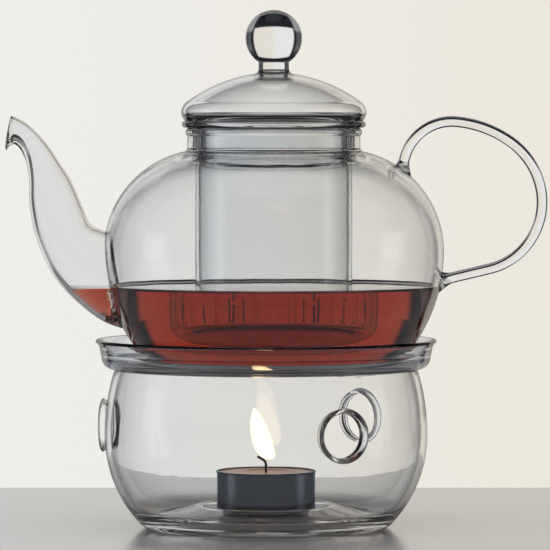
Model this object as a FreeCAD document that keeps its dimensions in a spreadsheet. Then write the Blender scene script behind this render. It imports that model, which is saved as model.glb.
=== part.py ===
import FreeCAD, Part
import math
import os
import Sketcher

# Glass teapot with infuser and lid, standing on its glass warmer with a tealight.
# Millimetres, +Z up. The origin is on the table, under the centre of the pot.
# The spout points along -X and the handle along +X.
# A revolved piece is drawn as half of its section: across is the distance from its axis, up is Z.

# Driving dimensions: alias, value, what it is.
SIZES = [
    ("warmer_x", -3.0, "warmer axis from the pot axis: the pot stands a little off centre"),
    ("foot_out_r", 44.3, "outer radius of the flat foot ring"),
    ("foot_in_r", 41.5, "inner radius of the flat foot ring"),
    ("heel_r", 48.7, "radius where the heel round ends"),
    ("heel_z", 2.0, "height where the heel round ends"),
    ("heel_round", 5.8, "radius of the heel round"),
    ("warmer_belly_r", 62.2, "widest radius of the warmer"),
    ("warmer_belly_z", 36.0, "height of the widest place"),
    ("warmer_neck_r", 58.2, "outer radius of the warmer's neck"),
    ("warmer_neck_z", 61.5, "height where the bowl ends and the tray begins"),
    ("warmer_wall", 2.2, "wall at the widest place"),
    ("warmer_neck_wall", 1.8, "wall at the neck"),
    ("floor_z", 6.2, "height of the dimple that holds the tealight"),
    ("floor_wall", 2.4, "thickness of the pushed-up floor"),
    ("dimple_r", 20.2, "radius of the dimple"),
    ("ridge_r", 25.0, "radius of the ridge round the dimple"),
    ("ridge_z", 9.0, "height of the ridge"),
    ("floor_edge_r", 41.0, "radius where the sloping floor ends"),
    ("floor_edge_z", 4.4, "height where the sloping floor ends"),
    ("floor_corner_r", 51.0, "radius where the floor corner meets the wall"),
    ("floor_corner_z", 8.6, "height where the floor corner meets the wall"),
    ("floor_corner_round", 13.0, "radius of the round between floor and wall"),
    ("vent_z", 39.2, "height of the vents"),
    ("vent_turn_left", 174.0, "direction of the left vent from +X, degrees"),
    ("vent_turn_front", 297.5, "direction of the front vent"),
    ("vent_turn_back", 52.0, "direction of the back vent"),
    ("vent_bore_r", 8.5, "radius of a vent's bore"),
    ("vent_neck_r", 9.6, "outer radius of the collar where it goes through the wall"),
    ("vent_lip_r", 10.4, "radius of the rolled lip"),
    ("vent_flare", 1.7, "radius of the hollow between neck and lip"),
    ("vent_in_x", 59.2, "inner end of the collar from the warmer axis"),
    ("vent_flare_x", 61.9, "where the collar begins to widen into its lip"),
    ("vent_lip_x", 63.3, "widest place of the lip from the warmer axis"),
    ("ledge_r", 31.0, "radius of the hole in the tray's ledge"),
    ("ledge_z", 63.4, "height of the ledge that the pot stands on"),
    ("tray_r", 63.4, "outer radius of the tray's wall at its foot"),
    ("tray_foot_z", 65.8, "height where the tray's wall begins"),
    ("tray_top_r", 64.1, "outer radius of the tray's wall at its top"),
    ("tray_top_z", 69.6, "height where the lip begins to flare"),
    ("tray_lip_r", 65.5, "radius of the flared lip"),
    ("tray_lip_z", 71.6, "height of the flared lip's edge"),
    ("tray_wall", 1.7, "wall of the tray"),
    ("tray_corner", 4.6, "radius of the round under the tray's wall"),
    ("tray_corner_in", 3.6, "radius of the round inside the tray"),
    ("tray_flare", 3.0, "radius of the lip's flare outside"),
    ("tray_flare_in", 4.4, "radius of the lip's flare inside"),
    ("tray_lip_edge", 1.1, "size of the flared lip's sloping edge"),
    ("tray_lip_round", 0.8, "radius of the lip's rounded edge"),
    ("cup_r", 19.35, "radius of the tealight cup"),
    ("cup_foot_r", 18.95, "radius of the cup at its foot"),
    ("cup_top", 15.7, "height of the tealight cup"),
    ("cup_wall", 0.35, "thickness of the cup's sheet, with its ribs"),
    ("cup_bead", 0.4, "radius of the cup's rolled rim"),
    ("wax_gap", 0.05, "room between wax and cup"),
    ("pool_edge", 1.2, "width of the slope into the melted pool"),
    ("pool_round", 1.6, "radius of the slope into the melted pool"),
    ("wax_top", 15.2, "height of the solid wax above the cup's foot"),
    ("pool_top", 14.9, "height of the melted pool"),
    ("pool_r", 10.9, "radius of the melted pool"),
    ("tab_r", 7.0, "radius of the wick tab"),
    ("tab_sheet", 0.35, "thickness of the wick tab"),
    ("tab_neck_r", 1.2, "radius of the wick tab's crimped neck"),
    ("tab_neck_top", 3.4, "height of the crimped neck"),
    ("wick_r", 0.5, "radius of the wick"),
    ("wick_straight", 17.2, "straight length of the wick"),
    ("wick_bend_r", 2.5, "bend radius of the wick"),
    ("wick_bend", 62.0, "bend of the wick, degrees"),
    ("wick_tip", 2.3, "straight length of the wick's tip"),
    ("pot_belly_r", 65.5, "widest radius of the pot"),
    ("pot_belly_z", 106.5, "height of the pot's widest place"),
    ("pot_corner_r", 44.6, "radius of the centre line of the base round"),
    ("pot_corner_round", 8.0, "radius of the base round"),
    ("pot_base_wall", 2.0, "thickness of the pot's base"),
    ("pot_wall", 1.6, "wall at the widest place"),
    ("pot_shoulder_r", 39.5, "radius of the shoulder arc"),
    ("pot_shoulder_in_r", 37.1, "radius of the shoulder arc inside"),
    ("neck_in_r", 30.7, "inner radius of the neck"),
    ("neck_r", 33.3, "outer radius of the neck at its waist"),
    ("neck_waist_z", 146.6, "height of the neck's waist"),
    ("neck_root_r", 34.8, "radius where the shoulder turns up into the neck"),
    ("neck_root_round", 1.6, "radius of the round between shoulder and neck"),
    ("neck_in_root_r", 32.3, "radius where the shoulder turns up into the neck inside"),
    ("neck_in_round", 1.75, "radius of the round between shoulder and neck inside"),
    ("neck_in_rise", 1.7, "rise of that round"),
    ("neck_top_r", 33.3, "outer radius of the neck below its bead"),
    ("neck_top_z", 151.1, "height where the bead begins"),
    ("rim_r", 32.7, "radius of the top of the rim bead"),
    ("rim_z", 154.2, "height of the pot's rim"),
    ("rim_round", 1.75, "radius of the rim bead"),
    ("rim_in_round", 0.6, "radius of the rim's inner edge"),
    ("tea_z", 92.8, "height of the tea"),
    ("tea_gap", 0.15, "space left between tea and glass"),
    ("rod_r", 2.1, "radius of the handle's rod"),
    ("handle_x", 68.3, "lower end of the rod from the pot axis"),
    ("handle_z", 96.4, "height of the rod's lower end"),
    ("handle_tilt", 13.4, "rise of the rod's lower run, degrees"),
    ("handle_run", 15.1, "length of the rod's lower run"),
    ("handle_bend_1_r", 26.4, "radius of the first bend"),
    ("handle_bend_1", 88.2, "angle of the first bend"),
    ("handle_bend_2_r", 29.4, "radius of the second bend"),
    ("handle_bend_2", 43.3, "angle of the second bend"),
    ("handle_bend_3_r", 42.0, "radius of the third bend"),
    ("handle_bend_3", 30.8, "angle of the third bend"),
    ("handle_bend_4_r", 18.6, "radius of the fourth bend"),
    ("handle_bend_4", 80.6, "angle of the fourth bend"),
    ("handle_end", 1.0, "length of the rod's upper run"),
    ("collar_r", 4.7, "radius of a handle collar's wide end before it is fitted to the pot"),
    ("collar_long", 6.0, "length of a handle collar before it is fitted to the pot"),
    ("spout_wall", 1.3, "wall of the spout, on average"),
    ("spout_tip_wall", 1.5, "wall of the spout near its mouth, on average"),
    ("spout_lift", 0.4, "how far the bore lies towards the upper side, which is drawn thinner"),
    ("spout_tip_lift", 0.6, "how far the bore lies towards the upper side near the mouth"),
    ("infuser_r", 30.2, "outer radius of the infuser"),
    ("infuser_wall", 1.5, "wall of the infuser"),
    ("infuser_z", 81.5, "height of the infuser's underside"),
    ("infuser_floor", 1.8, "thickness of the infuser's floor"),
    ("infuser_round", 5.0, "radius of the round at the infuser's foot"),
    ("flange_r", 34.4, "radius where the flange's rounded edge begins"),
    ("flange_high", 2.6, "thickness of the flange"),
    ("flange_round", 1.35, "radius of the flange's rounded edge"),
    ("flange_root", 0.8, "radius of the round under the flange"),
    ("infuser_mouth", 1.6, "radius of the round at the infuser's mouth"),
    ("infuser_gap", 0.4, "space left between tea and infuser"),
    ("slit_wide", 0.6, "width of an infuser slit"),
    ("slit_low_z", 84.4, "lower end of the slits"),
    ("slit_high_z", 92.2, "upper end of the slits"),
    ("lid_foot_r", 34.0, "outer radius of the lid's foot"),
    ("lid_r", 35.6, "widest radius of the lid"),
    ("lid_foot_round", 4.2, "radius of the round from the lid's foot to its widest place"),
    ("lid_wide_z", 160.0, "height of the lid's widest place"),
    ("lid_brow_r", 33.3, "radius where the lid's edge turns into the dome"),
    ("lid_brow_z", 164.3, "height where the lid's edge turns into the dome"),
    ("lid_brow_round", 5.3, "radius of the lid's edge"),
    ("lid_brow_in_r", 32.43, "radius where the lid's edge turns into the dome inside"),
    ("lid_brow_in_z", 162.9, "height where the lid's edge turns into the dome inside"),
    ("lid_foot_in_r", 32.4, "radius where the lid's inner shelf begins"),
    ("lid_top_r", 7.7, "radius of the flat under the knob"),
    ("lid_top_z", 174.9, "height of the flat under the knob"),
    ("lid_dome_round", 58.0, "radius of the dome arc"),
    ("lid_wall", 1.7, "wall of the lid"),
    ("skirt_r", 28.2, "outer radius of the lid's skirt"),
    ("skirt_wall", 1.4, "wall of the lid's skirt"),
    ("skirt_z", 141.2, "height of the skirt's lower edge"),
    ("knob_r", 10.87, "radius of the glass ball"),
    ("knob_neck_r", 5.85, "radius of the ball's neck"),
    ("knob_z", 188.6, "height of the ball's centre"),
    ("knob_flare_z", 177.0, "height where the neck begins to flare into the lid"),
    ("knob_flare", 2.4, "radius of that flare"),
    ("melt", 0.02, "how much a half-circle edge is widened, so that its arc can close"),
]

VENTS = ["left", "front", "back"]
SLIT_COUNT = 36
FULL_TURN = 360.0

# Sections of the spout, from inside the pot to the mouth: centre across and up,
# heading of the bore in degrees from +X, height and width of the ellipse.
SPOUT_SECTIONS = [
    (-54.0, 94.6, 176.0, 37.0, 30.0),
    (-61.0, 95.6, 176.0, 35.0, 29.5),
    (-65.4, 97.2, 172.0, 33.0, 28.5),
    (-70.6, 100.8, 161.0, 29.5, 26.5),
    (-76.0, 105.4, 146.0, 25.4, 24.2),
    (-79.5, 110.2, 134.0, 22.6, 22.4),
    (-83.0, 118.9, 121.0, 21.2, 20.2),
    (-86.05, 129.2, 120.0, 18.45, 17.0),
    (-88.3, 137.1, 121.0, 13.8, 13.2),
    (-90.9, 143.8, 126.0, 10.7, 10.4),
    (-93.9, 148.4, 138.0, 9.3, 9.1),
    (-96.9, 151.5, 157.0, 9.3, 9.1),
    (-100.0, 153.0, 174.0, 10.5, 10.2),
    (-102.3, 152.2, 170.0, 13.5, 12.6),
]
SPOUT_TIP_SECTIONS = 4

doc = FreeCAD.newDocument("teapot")


class Size:
    """A length or angle as both a number and the sheet formula that gives it."""

    def __init__(self, value, formula=None):
        self.value = float(value)
        self.formula = formula or "(%r)" % float(value)

    def joined(self, other, sign, value):
        return Size(value, "(%s %s %s)" % (self.formula, sign, other.formula))

    def __add__(self, other):
        other = as_size(other)
        return self.joined(other, "+", self.value + other.value)

    def __sub__(self, other):
        other = as_size(other)
        return self.joined(other, "-", self.value - other.value)

    def __mul__(self, other):
        other = as_size(other)
        return self.joined(other, "*", self.value * other.value)

    def __truediv__(self, other):
        other = as_size(other)
        return self.joined(other, "/", self.value / other.value)


def as_size(number):
    return number if isinstance(number, Size) else Size(number)


def root(size):
    return Size(math.sqrt(size.value), "sqrt(%s)" % size.formula)


class Sheet:
    """The spreadsheet, with each alias as an attribute that gives its Size."""

    def __init__(self, rows):
        self.cells = doc.addObject("Spreadsheet::Sheet", "Sizes")
        for number, (alias, value, meaning) in enumerate(rows, start=1):
            self.cells.set("A%d" % number, meaning)
            self.cells.set("B%d" % number, str(value))
            self.cells.setAlias("B%d" % number, alias)
            setattr(self, alias, Size(value, "Sizes." + alias))


def new_body(name):
    return doc.addObject("PartDesign::Body", name)


def origin_part(body, role):
    """A plane or axis of the body's own origin."""
    return next(item for item in body.Origin.OriginFeatures if item.Role == role)


def new_sketch(body, name, role):
    sketch = body.newObject("Sketcher::SketchObject", name)
    sketch.AttachmentSupport = (origin_part(body, role), [""])
    sketch.MapMode = "FlatFace"
    return sketch


def bind(sketch, kind, places, size):
    """A dimension of the sketch that follows the sheet."""
    number = sketch.addConstraint(Sketcher.Constraint(kind, *places, size.value))
    label = "size_%d" % number
    sketch.renameConstraint(number, label)
    sketch.setExpression("Constraints." + label, size.formula)


def arc_between(start, end, radius):
    """The arc from start to end, turning left for a positive radius and right for a negative one."""
    chord = end - start
    left = FreeCAD.Vector(-chord.y, chord.x, 0).normalize()
    side = math.copysign(1.0, radius)
    reach = math.sqrt(max(radius ** 2 - chord.Length ** 2 / 4, 0.0))
    centre = (start + end) / 2 + left * side * reach
    first, last = (start, end) if radius > 0 else (end, start)
    first_angle = math.atan2(first.y - centre.y, first.x - centre.x)
    last_angle = math.atan2(last.y - centre.y, last.x - centre.x)
    if last_angle <= first_angle:
        last_angle += 2 * math.pi
    circle = Part.Circle(centre, FreeCAD.Vector(0, 0, 1), abs(radius))
    return Part.ArcOfCircle(circle, first_angle, last_angle)


def fix_point(sketch, edge, end, across, up):
    """Hold one end of an edge at its place across and up from the sketch's origin."""
    if across.value == 0.0:
        sketch.addConstraint(Sketcher.Constraint("PointOnObject", edge, end, -2))
    else:
        bind(sketch, "DistanceX", (-1, 1, edge, end), across)
    if up.value == 0.0:
        sketch.addConstraint(Sketcher.Constraint("PointOnObject", edge, end, -1))
    else:
        bind(sketch, "DistanceY", (-1, 1, edge, end), up)


def draw_outline(sketch, corners):
    """A closed outline. A corner is (across, up) or, where an arc leads to it, (across, up, radius)."""
    places = [FreeCAD.Vector(as_size(c[0]).value, as_size(c[1]).value, 0) for c in corners]
    starts = []
    ends = []
    for number, corner in enumerate(corners):
        here = places[number - 1]
        there = places[number]
        if len(corner) == 2:
            edge = sketch.addGeometry(Part.LineSegment(here, there), False)
            starts.append((edge, 1))
            ends.append((edge, 2))
            continue
        radius = as_size(corner[2])
        edge = sketch.addGeometry(arc_between(here, there, radius.value), False)
        turns_left = radius.value > 0
        starts.append((edge, 1 if turns_left else 2))
        ends.append((edge, 2 if turns_left else 1))
    for number, corner in enumerate(corners):
        follower = starts[(number + 1) % len(corners)]
        sketch.addConstraint(Sketcher.Constraint("Coincident", *ends[number], *follower))
        fix_point(sketch, *ends[number], as_size(corner[0]), as_size(corner[1]))
        if len(corner) == 3:
            radius = as_size(corner[2])
            positive = radius if radius.value > 0 else as_size(0) - radius
            bind(sketch, "Radius", (ends[number][0],), positive)


def revolved(name, corners, axis="V_Axis"):
    """A body made by turning one outline about an axis of its sketch."""
    body = new_body(name)
    sketch = new_sketch(body, name + "_section", "XZ_Plane")
    draw_outline(sketch, corners)
    turn = body.newObject("PartDesign::Revolution", name + "_turned")
    turn.Profile = (sketch, [""])
    turn.ReferenceAxis = (sketch, [axis])
    turn.Angle = FULL_TURN
    return body


def piped(name, radius, pieces):
    """A rod that starts along Z at the body's origin. A piece is (length,) or (radius, degrees)."""
    body = new_body(name)
    round_sketch = new_sketch(body, name + "_round", "XY_Plane")
    circle = Part.Circle(FreeCAD.Vector(0, 0, 0), FreeCAD.Vector(0, 0, 1), radius.value)
    edge = round_sketch.addGeometry(circle, False)
    round_sketch.addConstraint(Sketcher.Constraint("Coincident", edge, 3, -1, 1))
    bind(round_sketch, "Radius", (edge,), radius)
    path = new_sketch(body, name + "_path", "XZ_Plane")
    draw_path(path, pieces)
    pipe = body.newObject("PartDesign::AdditivePipe", name + "_pipe")
    pipe.Profile = (round_sketch, [""])
    pipe.Spine = (path, [""])
    return body


def draw_path(sketch, pieces):
    """Straight runs and left bends, each tangent to the one before, from the origin along +Y."""
    here = FreeCAD.Vector(0, 0, 0)
    heading = math.pi / 2
    for number, piece in enumerate(pieces):
        forward = FreeCAD.Vector(math.cos(heading), math.sin(heading), 0)
        if len(piece) == 1:
            there = here + forward * piece[0].value
            edge = sketch.addGeometry(Part.LineSegment(here, there), False)
            bind(sketch, "Distance", (edge,), piece[0])
        else:
            radius, angle = piece
            turned = heading + math.radians(angle.value)
            centre = here + FreeCAD.Vector(-forward.y, forward.x, 0) * radius.value
            there = centre + FreeCAD.Vector(math.sin(turned), -math.cos(turned), 0) * radius.value
            edge = sketch.addGeometry(arc_between(here, there, radius.value), False)
            bind(sketch, "Radius", (edge,), radius)
            bind(sketch, "Angle", (edge,), Size(math.radians(angle.value), angle.formula))
            heading = turned
        if number == 0:
            sketch.addConstraint(Sketcher.Constraint("Coincident", edge, 1, -1, 1))
            sketch.addConstraint(Sketcher.Constraint("Vertical", edge))
        else:
            sketch.addConstraint(Sketcher.Constraint("Tangent", edge - 1, 2, edge, 1))
        here = there


def cut(name, base, tool):
    result = doc.addObject("Part::Cut", name)
    result.Base = base
    result.Tool = tool
    return result


def place(item, x=None, z=None, turn=None, axis=FreeCAD.Vector(0, 0, 1)):
    """Move a sub-part to its place, with its offsets and turn bound to the sheet."""
    if turn is not None:
        item.Placement = FreeCAD.Placement(FreeCAD.Vector(0, 0, 0), axis, turn.value)
        item.setExpression("Placement.Rotation.Angle", turn.formula)
    if x is not None:
        item.setExpression("Placement.Base.x", x.formula)
    if z is not None:
        item.setExpression("Placement.Base.z", z.formula)
    return item


def path_end(start, heading, pieces):
    """Where a bent path ends and which way it then points, as numbers: x, z, heading in radians."""
    x, z = start
    for piece in pieces:
        if len(piece) == 1:
            x += math.cos(heading) * piece[0].value
            z += math.sin(heading) * piece[0].value
        else:
            turned = heading + math.radians(piece[1].value)
            x += piece[0].value * (math.sin(turned) - math.sin(heading))
            z -= piece[0].value * (math.cos(turned) - math.cos(heading))
            heading = turned
    return x, z, heading


def side_radius(belly_r, belly_z, centre_r, centre_z, corner):
    """Radius of the side arc: upright at the belly and tangent to the corner round."""
    across = belly_r - centre_r
    up = belly_z - centre_z
    return (across * across + up * up - corner * corner) / ((across - corner) * 2)


def side_corner(belly_r, belly_z, centre_r, centre_z, corner):
    """Where the side arc and the corner round meet, and the side arc's radius."""
    radius = side_radius(belly_r, belly_z, centre_r, centre_z, corner)
    side_centre_r = belly_r - radius
    stretch = radius / (radius - corner)
    across = side_centre_r + (centre_r - side_centre_r) * stretch
    up = belly_z + (centre_z - belly_z) * stretch
    return across, up, radius


def upright_arc(belly_r, belly_z, end_r, end_z):
    """Radius of an arc that is upright at the belly and passes the given end."""
    across = belly_r - end_r
    up = end_z - belly_z
    return (across * across + up * up) / (across * 2)


def height_on_arc(centre_z, radius, across):
    """Height of a point on an arc, across from the arc's centre."""
    return centre_z + root(radius * radius - across * across)


def warmer_bowl(s):
    """Blown bowl with a pushed-up floor and three round holes for the vent collars."""
    in_belly = s.warmer_belly_r - s.warmer_wall
    in_neck = s.warmer_neck_r - s.warmer_neck_wall
    lower = upright_arc(s.warmer_belly_r, s.warmer_belly_z, s.heel_r, s.heel_z)
    upper = upright_arc(s.warmer_belly_r, s.warmer_belly_z, s.warmer_neck_r, s.warmer_neck_z)
    in_lower = upright_arc(in_belly, s.warmer_belly_z, s.floor_corner_r, s.floor_corner_z)
    in_upper = upright_arc(in_belly, s.warmer_belly_z, in_neck, s.warmer_neck_z)
    no_size = Size(0)
    body = revolved("warmer_blown", [
        (0, s.floor_z - s.floor_wall),
        (s.dimple_r, s.floor_z - s.floor_wall),
        (s.ridge_r, s.ridge_z - s.floor_wall),
        (s.foot_in_r, 0),
        (s.foot_out_r, 0),
        (s.heel_r, s.heel_z, s.heel_round),
        (s.warmer_belly_r, s.warmer_belly_z, lower),
        (s.warmer_neck_r, s.warmer_neck_z, upper),
        (in_neck, s.warmer_neck_z),
        (in_belly, s.warmer_belly_z, no_size - in_upper),
        (s.floor_corner_r, s.floor_corner_z, no_size - in_lower),
        (s.floor_edge_r, s.floor_edge_z, no_size - s.floor_corner_round),
        (s.ridge_r, s.ridge_z),
        (s.dimple_r, s.floor_z),
        (0, s.floor_z),
    ])
    for vent in VENTS:
        hole = revolved("vent_hole_" + vent, [
            (s.ledge_r, 0),
            (s.vent_lip_x, 0),
            (s.vent_lip_x, s.vent_neck_r),
            (s.ledge_r, s.vent_neck_r),
        ], axis="H_Axis")
        place(hole, z=s.vent_z, turn=vent_turn(s, vent))
        doc.recompute()
        whole = body.Shape.Volume
        body = cut("warmer_bowl" if vent == VENTS[-1] else "warmer_less_" + vent, body, hole)
        doc.recompute()
        assert body.Shape.Volume < whole, "the vent hole cuts nothing"
    return place(body, x=s.warmer_x)


def vent_turn(s, vent):
    return getattr(s, "vent_turn_" + vent)


def vent_collar(s, vent):
    """Short tube with a rolled lip in one air hole, turned about its own radial axis."""
    no_size = Size(0)
    lip_round = (s.vent_lip_r - s.vent_bore_r) / 2 + s.melt
    collar = revolved("vent_collar_" + vent, [
        (s.vent_in_x, s.vent_bore_r),
        (s.vent_lip_x, s.vent_bore_r),
        (s.vent_lip_x, s.vent_lip_r, lip_round),
        (s.vent_flare_x, s.vent_neck_r, no_size - s.vent_flare),
        (s.vent_in_x, s.vent_neck_r),
    ], axis="H_Axis")
    return place(collar, x=s.warmer_x, z=s.vent_z, turn=vent_turn(s, vent))


def warmer_tray(s):
    """Saucer welded on the neck: a flat ledge for the pot, an upright wall and a flared lip."""
    in_foot = s.tray_r - s.tray_wall
    in_top = s.tray_top_r - s.tray_wall
    no_size = Size(0)
    return place(revolved("warmer_tray", [
        (s.ledge_r, s.warmer_neck_z),
        (s.warmer_neck_r, s.warmer_neck_z),
        (s.tray_r, s.tray_foot_z, s.tray_corner),
        (s.tray_top_r, s.tray_top_z),
        (s.tray_lip_r, s.tray_lip_z, no_size - s.tray_flare),
        (s.tray_lip_r - s.tray_lip_edge, s.tray_lip_z + s.tray_lip_edge, s.tray_lip_round),
        (in_top, s.tray_top_z, s.tray_flare_in),
        (in_foot, s.tray_foot_z + s.tray_wall),
        (s.warmer_neck_r, s.ledge_z, no_size - s.tray_corner_in),
        (s.ledge_r, s.ledge_z),
    ]), x=s.warmer_x)


def tealight(s):
    """Drawn aluminium cup, poured wax with its melted pool, wick tab and bent wick."""
    bead = s.cup_bead
    cup = revolved("tealight_cup", [
        (0, 0),
        (s.cup_foot_r, 0),
        (s.cup_r - bead, s.cup_top - bead * 2),
        (s.cup_r - bead, s.cup_top, bead + s.melt),
        (s.cup_r - bead - s.cup_wall, s.cup_top),
        (s.cup_foot_r - s.cup_wall, s.cup_wall),
        (0, s.cup_wall),
    ])
    wall_run = (s.cup_r - bead - s.cup_foot_r) / s.cup_top
    wax_low_r = s.cup_foot_r - s.cup_wall - s.wax_gap
    wax = revolved("tealight_wax", [
        (s.tab_r, s.cup_wall),
        (wax_low_r, s.cup_wall),
        (wax_low_r + wall_run * s.wax_top, s.wax_top),
        (s.pool_r + s.pool_edge, s.wax_top),
        (s.pool_r, s.pool_top, s.pool_round),
        (s.wick_r, s.pool_top),
        (s.wick_r, s.tab_neck_top),
        (s.tab_neck_r, s.tab_neck_top),
        (s.tab_neck_r, s.cup_wall + s.tab_sheet),
        (s.tab_r, s.cup_wall + s.tab_sheet),
    ])
    tab = revolved("wick_tab", [
        (0, s.cup_wall),
        (s.tab_r, s.cup_wall),
        (s.tab_r, s.cup_wall + s.tab_sheet),
        (s.tab_neck_r, s.cup_wall + s.tab_sheet),
        (s.tab_neck_r, s.tab_neck_top),
        (s.wick_r, s.tab_neck_top),
        (s.wick_r, s.cup_wall + s.tab_sheet),
        (0, s.cup_wall + s.tab_sheet),
    ])
    wick = piped("wick", s.wick_r, [
        (s.wick_straight,),
        (s.wick_bend_r, s.wick_bend),
        (s.wick_tip,),
    ])
    for item in (cup, wax, tab):
        place(item, x=s.warmer_x, z=s.floor_z)
    place(wick, x=s.warmer_x, z=s.floor_z + s.cup_wall + s.tab_sheet)
    return [cup, wax, tab, wick]


def pot_outside(s):
    """Outer half of the pot's section, from the axis under the base up to the neck's root."""
    corner_z = s.ledge_z + s.pot_corner_round
    side_r, side_z, side = side_corner(
        s.pot_belly_r, s.pot_belly_z, s.pot_corner_r, corner_z, s.pot_corner_round)
    shoulder_centre = s.pot_belly_r - s.pot_shoulder_r
    root_z = height_on_arc(s.pot_belly_z, s.pot_shoulder_r, s.neck_root_r - shoulder_centre)
    return [
        (0, s.ledge_z),
        (s.pot_corner_r, s.ledge_z),
        (side_r, side_z, s.pot_corner_round),
        (s.pot_belly_r, s.pot_belly_z, side),
        (s.neck_root_r, root_z, s.pot_shoulder_r),
    ]


def pot_inside(s, gap):
    """Inner half of the pot's section, from the belly down to the axis, moved in by a gap."""
    belly = s.pot_belly_r - s.pot_wall - gap
    corner = s.pot_corner_round - s.pot_base_wall - gap
    corner_z = s.ledge_z + s.pot_corner_round
    side_r, side_z, side = side_corner(belly, s.pot_belly_z, s.pot_corner_r, corner_z, corner)
    return belly, side, (side_r, side_z), corner, corner_z - corner


def pot_bowl(s, bore):
    """Blown bowl with its neck and rim bead, open into the spout."""
    belly, side, side_end, corner, floor_z = pot_inside(s, Size(0))
    no_size = Size(0)
    in_centre = belly - s.pot_shoulder_in_r
    in_root_z = height_on_arc(s.pot_belly_z, s.pot_shoulder_in_r, s.neck_in_root_r - in_centre)
    shell = revolved("pot_shell", pot_outside(s) + [
        (s.neck_r, s.neck_waist_z, no_size - s.neck_root_round),
        (s.neck_top_r, s.neck_top_z),
        (s.rim_r, s.rim_z, s.rim_round),
        (s.neck_in_r + s.rim_in_round, s.rim_z),
        (s.neck_in_r, s.rim_z - s.rim_in_round, s.rim_in_round),
        (s.neck_in_r, in_root_z + s.neck_in_rise),
        (s.neck_in_root_r, in_root_z, s.neck_in_round),
        (belly, s.pot_belly_z, no_size - s.pot_shoulder_in_r),
        (side_end[0], side_end[1], no_size - side),
        (s.pot_corner_r, floor_z, no_size - corner),
        (0, floor_z),
    ])
    return cut("pot_bowl", shell, bore)


def tea(s):
    """Tea in the bowl, with room for the infuser that hangs in it."""
    belly, side, side_end, corner, floor_z = pot_inside(s, s.tea_gap)
    side_centre = belly - side
    drop = s.pot_belly_z - s.tea_z
    level_r = side_centre + root(side * side - drop * drop)
    room_r = s.infuser_r + s.infuser_gap
    room_z = s.infuser_z - s.infuser_gap
    return revolved("tea", [
        (0, floor_z),
        (s.pot_corner_r, floor_z),
        (side_end[0], side_end[1], corner),
        (level_r, s.tea_z, side),
        (room_r, s.tea_z),
        (room_r, room_z + s.infuser_round),
        (room_r - s.infuser_round, room_z, Size(0) - s.infuser_round),
        (0, room_z),
    ])


def spout_loft(name, s, is_bore):
    """Loft through the spout's ellipses. The bore's are smaller by the wall and lie a little higher."""
    rings = []
    tip_start = len(SPOUT_SECTIONS) - SPOUT_TIP_SECTIONS
    for number, (x, z, heading, high, wide) in enumerate(SPOUT_SECTIONS):
        near_tip = number >= tip_start
        thickness = s.spout_tip_wall if near_tip else s.spout_wall
        lift = s.spout_tip_lift if near_tip else s.spout_lift
        high_r = Size(high / 2)
        wide_r = Size(wide / 2)
        if is_bore:
            x += lift.value * math.sin(math.radians(heading))
            z -= lift.value * math.cos(math.radians(heading))
            high_r -= thickness
            wide_r -= thickness
        ring = doc.addObject("Part::Ellipse", "%s_ring_%d" % (name, number))
        ring.setExpression("MajorRadius", high_r.formula)
        ring.setExpression("MinorRadius", wide_r.formula)
        tilt = FreeCAD.Rotation(FreeCAD.Vector(0, 1, 0), 90.0 - heading)
        ring.Placement = FreeCAD.Placement(FreeCAD.Vector(x, 0, z), tilt)
        rings.append(ring)
    loft = doc.addObject("Part::Loft", name)
    loft.Sections = rings
    loft.Solid = True
    return loft


def handle_path(s):
    return [
        (s.handle_run,),
        (s.handle_bend_1_r, s.handle_bend_1),
        (s.handle_bend_2_r, s.handle_bend_2),
        (s.handle_bend_3_r, s.handle_bend_3),
        (s.handle_bend_4_r, s.handle_bend_4),
        (s.handle_end,),
    ]


def handle_rod(s):
    """Solid glass rod bent into an ear shape."""
    rod = piped("handle", s.rod_r, handle_path(s))
    tilt = Size(90) - s.handle_tilt
    return place(rod, x=s.handle_x, z=s.handle_z, turn=tilt, axis=FreeCAD.Vector(0, 1, 0))


def handle_collar(name, s, x, z, heading, envelope):
    """Cone of glass that joins one end of the rod to the pot, fitted to the pot's outside."""
    cone = doc.addObject("Part::Cone", name + "_cone")
    cone.setExpression("Radius1", s.rod_r.formula)
    cone.setExpression("Radius2", s.collar_r.formula)
    cone.setExpression("Height", s.collar_long.formula)
    aim = FreeCAD.Rotation(FreeCAD.Vector(0, 1, 0), 90.0 - math.degrees(heading))
    cone.Placement = FreeCAD.Placement(FreeCAD.Vector(x, 0, z), aim)
    return cut(name, cone, envelope)


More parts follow.
